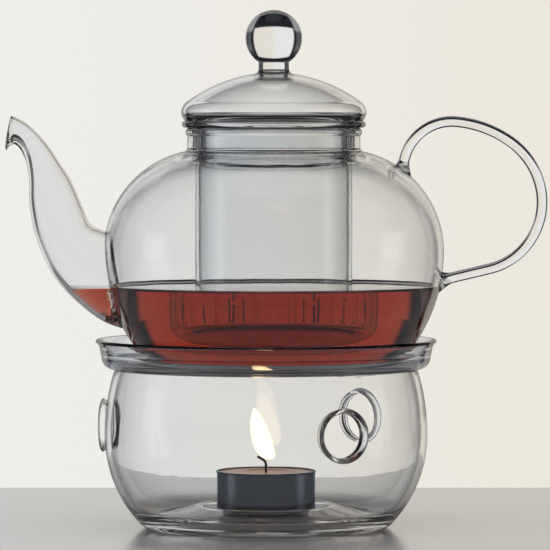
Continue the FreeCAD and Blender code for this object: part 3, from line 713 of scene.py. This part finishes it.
def smooth_sections(steps_between=7):
    """The spout's sections with more between them, on a Catmull-Rom spline."""
    rows = [Vector(row) for row in SPOUT_SECTIONS]
    smooth = []
    for number in range(len(rows) - 1):
        before = rows[max(number - 1, 0)]
        here = rows[number]
        there = rows[number + 1]
        after = rows[min(number + 2, len(rows) - 1)]
        for i in range(steps_between):
            t = i / steps_between
            smooth.append(0.5 * (
                2 * here
                + (there - before) * t
                + (2 * before - 5 * here + 4 * there - after) * t ** 2
                + (3 * here - before - 3 * there + after) * t ** 3
            ))
    smooth.append(rows[-1])
    return smooth


def section_ring(mesh, section, smaller, steps=96):
    """One ring of a spout or rod, on its tilted ellipse, moved in by the wall where smaller is 1."""
    x, z, heading, high, wide, wall, lift = section
    angle = math.radians(heading)
    up = Vector((math.sin(angle), 0.0, -math.cos(angle)))
    across = Vector((0.0, 1.0, 0.0))
    ring = []
    for i in range(steps):
        turn = 2 * math.pi * i / steps
        spot = Vector((x, 0.0, z)) + up * lift * smaller
        spot += up * (high / 2 - wall * smaller) * math.cos(turn)
        spot += across * (wide / 2 - wall * smaller) * math.sin(turn)
        ring.append(mesh.verts.new(spot * MM))
    return ring


def spout_bore(name):
    """The space inside the spout, as a closed solid."""
    mesh = bmesh.new()
    close_tube(mesh, [section_ring(mesh, section, 1.0) for section in smooth_sections()])
    return make_object(name, mesh)


def ahead(section, run):
    """The same section, moved along its heading."""
    step = along(math.radians(section[2])) * run
    further = section.copy()
    further[0] += step.x
    further[1] += step.y
    return further


def spout():
    """Drawn tube with a flared and rounded lip, welded to the bowl."""
    mesh = bmesh.new()
    sections = smooth_sections()
    lip_wall = sections[-1][5]
    bead = lip_wall / 2
    sections[-1] = ahead(sections[-1], -bead)
    outer = [section_ring(mesh, section, 0.0) for section in sections]
    inner = [section_ring(mesh, section, 1.0) for section in sections]
    lip = []
    lip_steps = 8
    for i in range(1, lip_steps):
        turn = math.pi * i / lip_steps
        section = ahead(sections[-1], bead * math.sin(turn))
        lip.append(section_ring(mesh, section, (1 - math.cos(turn)) / 2))
    skin = outer + lip + inner[::-1]
    for lower, upper in zip(skin, skin[1:]):
        join_rings(mesh, lower, upper)
    join_rings(mesh, inner[0], outer[0])
    piece = make_object("spout_glass", mesh)
    carve(piece, envelope_tool())
    return finish_piece(piece, "pot", ["spout"], GLASS)


def handle_route():
    """Places and headings along the middle of the handle's rod, from its lower end."""
    here = Vector(ROD_START)
    heading = math.radians(ROD_HEADING)
    route = [(here.copy(), heading)]
    for size, angle in ROD_PIECES:
        if angle == 0.0:
            count = max(2, math.ceil(size))
            turn = 0.0
            step = size / count
        else:
            count = math.ceil(math.radians(angle) / ARC_STEP)
            turn = math.radians(angle) / count
            step = 2 * size * math.sin(turn / 2)
        for _ in range(count):
            here = here + along(heading + turn / 2) * step
            heading += turn
            route.append((here.copy(), heading))
    return route


def with_leads(route, steps=12):
    """The route, made longer at both ends by the lead."""
    start, start_heading = route[0]
    end, end_heading = route[-1]
    shares = [i / steps for i in range(1, steps + 1)]
    first = [(start - along(start_heading) * ROD_LEAD * share, start_heading) for share in shares]
    last = [(end + along(end_heading) * ROD_LEAD * share, end_heading) for share in shares]
    return first[::-1] + route + last


def handle():
    """Solid glass rod bent into an ear shape, flared into a collar at each end."""
    route = with_leads(handle_route())
    length = [0.0]
    for (here, _), (there, _) in zip(route, route[1:]):
        length.append(length[-1] + (there - here).length)
    mesh = bmesh.new()
    rings = []
    for (place, heading), reached in zip(route, length):
        from_end = min(reached, length[-1] - reached)
        flare = max(0.0, 1.0 - from_end / ROD_LEAD)
        across = 2 * (ROD_R + ROD_FLARE * flare ** ROD_FLARE_CURVE)
        section = (place.x, place.y, math.degrees(heading), across, across, 0.0, 0.0)
        rings.append(section_ring(mesh, section, 0.0, steps=48))
    close_tube(mesh, rings)
    rod = make_object("handle_glass", mesh)
    carve(rod, envelope_tool())
    nodes = ["handle", "handle_lower_collar", "handle_upper_collar"]
    return finish_piece(rod, "pot", nodes, GLASS)


def tea():
    """Tea in the bowl and in the foot of the spout, drawn up a little where it meets the glass."""
    in_belly = BELLY_R - BELLY_WALL + WELD
    in_round = BASE_ROUND - BASE_WALL + WELD
    corner_z = LEDGE_Z + BASE_ROUND
    side_r, side_z, side = side_corner(in_belly, BASE_ROUND_R, corner_z, in_round)
    level_r = in_belly - side + math.sqrt(side ** 2 - (BELLY_Z - TEA_Z) ** 2)
    creep = 2.4
    liquid = lathe("tea_liquid", outline([
        (0.0, corner_z - in_round),
        (BASE_ROUND_R, corner_z - in_round),
        (side_r, side_z, in_round),
        (level_r, TEA_Z + MENISCUS, side),
        (level_r - WELD - 0.1, TEA_Z + MENISCUS),
        (level_r - creep, TEA_Z, -2.6),
        (0.0, TEA_Z),
    ]))
    spout_tea = spout_bore("spout_tea")
    wide = 140.0
    high = 200.0
    above = outline([(0.0, TEA_Z), (wide, TEA_Z), (wide, high), (0.0, high)])
    carve(spout_tea, lathe("above_tea", above, steps=64))
    carve(liquid, spout_tea, "UNION")
    return finish_piece(liquid, "pot", ["tea"], tea_material())


# Infuser and lid


def slit_tool():
    """One blade for each slit, standing round the cup's wall."""
    mesh = bmesh.new()
    low = Vector((26.5, -SLIT_WIDE / 2, SLIT_LOW_Z))
    high = Vector((31.5, SLIT_WIDE / 2, SLIT_HIGH_Z))
    middle = Matrix.Translation((low + high) / 2 * MM)
    size = Matrix.Diagonal((*((high - low) * MM), 1.0))
    for number in range(SLIT_COUNT):
        turn = Matrix.Rotation(2 * math.pi * number / SLIT_COUNT, 4, "Z")
        bmesh.ops.create_cube(mesh, size=1.0, matrix=turn @ middle @ size)
    return make_object("slit_tool", mesh)


def infuser():
    """Straight cup that hangs by its flange, with fine slits near its foot.

    A ring of points at the tea's surface lets the glass change its finish there.
    """
    foot_z = box_mm("infuser_cup")[0].z
    floor_z = foot_z + CUP_FLOOR
    floor_r = CUP_R - CUP_ROUND
    bore_r = CUP_R - CUP_WALL
    in_round = CUP_ROUND - CUP_WALL
    flange_r = 34.4
    root = 0.8
    mouth = 1.6
    points = outline([
        (0.0, foot_z),
        (floor_r, foot_z),
        (CUP_R, foot_z + CUP_ROUND, CUP_ROUND),
        (CUP_R, TEA_Z),
        (CUP_R, RIM_Z - root),
        (CUP_R + root, RIM_Z, -root),
        (flange_r, RIM_Z),
        (flange_r, FLANGE_Z, 1.35),
        (bore_r + mouth, FLANGE_Z),
        (bore_r, FLANGE_Z - mouth, mouth),
        (bore_r, TEA_Z),
        (bore_r, floor_z + in_round),
        (floor_r, floor_z, -in_round),
        (0.0, floor_z),
    ])
    cup = lathe("infuser_glass", fire_polished(points, 0.5))
    carve(cup, slit_tool())
    finish_piece(cup, "infuser", ["infuser_cup"], GLASS)
    cup.data.materials.append(WET_GLASS)
    for face in cup.data.polygons:
        face.material_index = 1 if face.center.z < TEA_Z * MM else 0
    return cup


def lid_dome():
    """Blown dome with an inner shelf that lies on the infuser's flange."""
    widest_z = 160.0
    points = outline([
        (SKIRT_R - WELD, FLANGE_Z),
        (34.0, FLANGE_Z),
        (35.6, widest_z, 4.2),
        (33.3, 164.3, 5.3),
        (KNOB_ROOT_R, DOME_Z, 58.0),
        (0.0, DOME_Z),
        (0.0, DOME_Z - DOME_WALL),
        (KNOB_ROOT_R, DOME_Z - DOME_WALL),
        (32.43, 162.9, -56.3),
        (33.9, widest_z, -3.6),
        (32.4, FLANGE_Z + DOME_WALL, -DOME_WALL),
        (SKIRT_R - WELD, FLANGE_Z + DOME_WALL),
    ])
    dome = lathe("lid_dome_glass", fire_polished(points, 0.5))
    return finish_piece(dome, "lid", ["lid_dome"], GLASS)


def lid_skirt():
    """Glass tube that goes down into the infuser."""
    low_z = 141.9
    high_z = 158.5
    points = outline([
        (SKIRT_BORE_R, low_z),
        (SKIRT_R, low_z, 0.72),
        (SKIRT_R, high_z),
        (SKIRT_BORE_R, high_z),
    ])
    skirt = lathe("lid_skirt_glass", fire_polished(points, 0.4))
    return finish_piece(skirt, "lid", ["lid_skirt"], GLASS)


def lid_knob():
    """Solid glass ball on a short flared neck."""
    ball_low_z = BALL_Z - math.sqrt(BALL_R ** 2 - KNOB_NECK_R ** 2)
    points = outline([
        (0.0, DOME_Z - WELD),
        (KNOB_ROOT_R, DOME_Z - WELD),
        (KNOB_NECK_R, 177.0, -2.4),
        (KNOB_NECK_R, ball_low_z),
        (0.0, BALL_Z + BALL_R, BALL_R),
    ])
    knob = lathe("lid_knob_glass", fire_polished(points, 0.3), steps=160)
    return finish_piece(knob, "lid", ["lid_knob"], GLASS)


# Tealight


def tealight():
    """The CAD pieces with their finishes."""
    nodes = frame["nodes"]
    finishes = {
        "tealight_cup": aluminium_material(),
        "tealight_wax": wax_material(),
        "wick_tab": tin_material(),
        "wick": wick_material(),
    }
    for node, material in finishes.items():
        nodes[node].data.materials.clear()
        nodes[node].data.materials.append(material)


# Stage


def window(nodes, links, side, rise, sides, rises):
    """1 inside a soft-edged window of directions, and 0 outside.

    Its sides and rises are each where it starts, is full, starts to fade and ends, in degrees.
    """
    parts = []
    for value, (start, full, fade, end) in ((side, sides), (rise, rises)):
        if full > start:
            parts.append(step_between(nodes, links, value, math.radians(start), math.radians(full)))
        parts.append(step_between(nodes, links, value, math.radians(fade), math.radians(end), 1.0, 0.0))
    whole = parts[0]
    for part in parts[1:]:
        whole = add_math(nodes, links, "MULTIPLY", whole, part)
    return whole


def studio():
    """A bright screen behind the table, paler patches round, above and below, and dark between."""
    world = bpy.data.worlds.new("studio")
    world.use_nodes = True
    bpy.context.scene.world = world
    nodes = world.node_tree.nodes
    links = world.node_tree.links
    direction = nodes.new("ShaderNodeSeparateXYZ")
    links.new(nodes.new("ShaderNodeTexCoord").outputs["Generated"], direction.inputs["Vector"])
    turn = add_math(nodes, links, "ARCTAN2", direction.outputs["X"], direction.outputs["Y"])
    side = add_math(nodes, links, "ABSOLUTE", turn)
    rise = add_math(nodes, links, "ARCSINE", direction.outputs["Z"])
    warm = step_between(nodes, links, turn, math.radians(-6), math.radians(6))
    screen_colour = blend_colour(nodes, links, warm, (0.86, 0.86, 0.84), (0.84, 0.79, 0.70))
    all_round = (0, 0, 190, 200)
    patches = {
        "beside_screen": ((39, 42, 58, 61), (-15, -12, 23, 26), (0.10, 0.10, 0.11)),
        "ceiling": (all_round, (60, 72, 95, 96), (0.45, 0.46, 0.48)),
        "sides": ((78, 82, 98, 102), (-14, -10, 14, 18), (0.60, 0.59, 0.57)),
        "below": ((33, 41, 190, 200), (-95, -92, -15, -7), (0.36, 0.36, 0.36)),
        "screen": ((0, 0, 30, 35), (-16, -13, 32, 36), screen_colour),
    }
    colour = (0.008, 0.009, 0.012)
    for sides, rises, patch_colour in patches.values():
        inside = window(nodes, links, side, rise, sides, rises)
        colour = blend_colour(nodes, links, inside, colour, patch_colour)
    links.new(colour, nodes["Background"].inputs["Color"])


def table():
    """A plain pale table top, whose far edge is close behind the warmer."""
    far = 188.0
    near = -1500.0
    wide = 1500.0
    thick = 30.0
    mesh = bmesh.new()
    corners = [(-wide, near), (wide, near), (wide, far), (-wide, far)]
    top = [mesh.verts.new((x * MM, y * MM, 0.0)) for x, y in corners]
    bottom = [mesh.verts.new((x * MM, y * MM, -thick * MM)) for x, y in corners]
    mesh.faces.new(top)
    mesh.faces.new(bottom)
    for i in range(4):
        j = (i + 1) % 4
        mesh.faces.new((top[i], top[j], bottom[j], bottom[i]))
    slab = make_object("table_top", mesh)
    bevel = slab.modifiers.new("edge", "BEVEL")
    bevel.width = 2 * MM
    bevel.segments = 4
    material, nodes, links, shader = new_material("table_top")
    shader.inputs["Roughness"].default_value = 0.15
    shader.inputs["Specular IOR Level"].default_value = 0.22
    shader.inputs["Base Color"].default_value = (0.24, 0.243, 0.248, 1.0)
    slab.data.materials.append(material)


def overhead_light():
    """A large soft lamp, which only matt surfaces show."""
    data = bpy.data.lights.new("overhead", "AREA")
    data.shape = "RECTANGLE"
    data.size = 2.0
    data.size_y = 2.0
    data.energy = 40.0
    data.color = (1.0, 0.98, 0.96)
    lamp = bpy.data.objects.new("overhead", data)
    lamp.location = (0.0, -0.3, 1.6)
    lamp.rotation_euler = (-lamp.location).to_track_quat("-Z", "Y").to_euler()
    lamp.visible_camera = False
    lamp.visible_glossy = False
    lamp.visible_transmission = False
    bpy.context.scene.collection.objects.link(lamp)


def flame():
    """The flame, as a lit shape that isn't part of the object.

    Its rings are (height, across, radius), and it leans to the left.
    """
    steps = 32
    sections = [
        (26.2, -1.5, 0.6), (26.7, -1.6, 1.9), (27.6, -2.2, 2.9), (28.9, -3.0, 3.5), (31.0, -3.8, 3.9),
        (33.7, -4.6, 4.0), (36.8, -5.4, 3.6), (39.8, -6.1, 2.9), (41.7, -6.6, 2.3), (43.2, -6.9, 1.7),
        (44.4, -7.1, 1.1), (45.2, -7.4, 0.5), (45.6, -7.6, 0.15),
    ]
    mesh = bmesh.new()
    rings = []
    for up, across, wide in sections:
        rings.append([
            mesh.verts.new((
                (across + wide * math.cos(2 * math.pi * i / steps)) * MM,
                wide * math.sin(2 * math.pi * i / steps) * MM,
                up * MM,
            ))
            for i in range(steps)
        ])
    close_tube(mesh, rings)
    shape = make_object("flame", mesh)
    smooth = shape.modifiers.new("smooth", "SUBSURF")
    smooth.levels = smooth.render_levels = 2
    material, nodes, links, shader = new_material("flame")
    nodes.remove(shader)
    glow = nodes.new("ShaderNodeEmission")
    glow.inputs["Color"].default_value = (1.0, 0.72, 0.36, 1.0)
    glow.inputs["Strength"].default_value = 3.0
    clear = nodes.new("ShaderNodeBsdfTransparent")
    edge = nodes.new("ShaderNodeLayerWeight")
    edge.inputs["Blend"].default_value = 0.3
    mix = nodes.new("ShaderNodeMixShader")
    links.new(edge.outputs["Facing"], mix.inputs["Fac"])
    links.new(glow.outputs["Emission"], mix.inputs[1])
    links.new(clear.outputs["BSDF"], mix.inputs[2])
    links.new(mix.outputs["Shader"], nodes["Material Output"].inputs["Surface"])
    shape.data.materials.append(material)
    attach(shape, "tealight")


def camera():
    """Nearly level and from far away, as the object is shown; in metres."""
    distance = 1.65
    height = 0.152
    view_width = 0.21175
    target = Vector((0.00046, 0.0, 0.0975))
    data = bpy.data.cameras.new("camera")
    data.sensor_width = 36.0
    data.lens = data.sensor_width * distance / view_width
    data.clip_start = 0.1
    data.clip_end = 100.0
    item = bpy.data.objects.new("camera", data)
    item.location = (target.x, -distance, height)
    item.rotation_euler = (target - item.location).to_track_quat("-Z", "Y").to_euler()
    bpy.context.scene.collection.objects.link(item)
    bpy.context.scene.camera = item


def render_limits():
    """Plain display colours, and enough bounces for light to cross every wall of the glass."""
    scene = bpy.context.scene
    scene.view_settings.view_transform = "Standard"
    scene.cycles.max_bounces = 40
    scene.cycles.transmission_bounces = 40
    scene.cycles.glossy_bounces = 24
    scene.cycles.transparent_max_bounces = 48
    scene.cycles.caustics_reflective = False
    scene.cycles.caustics_refractive = False


warmer_bowl()
for node, turn in VENT_TURNS.items():
    vent_collar(node, turn)
warmer_tray()
pot_bowl()
spout()
handle()
tea()
infuser()
lid_dome()
lid_skirt()
lid_knob()
tealight()
studio()
table()
overhead_light()
flame()
camera()
render_limits()
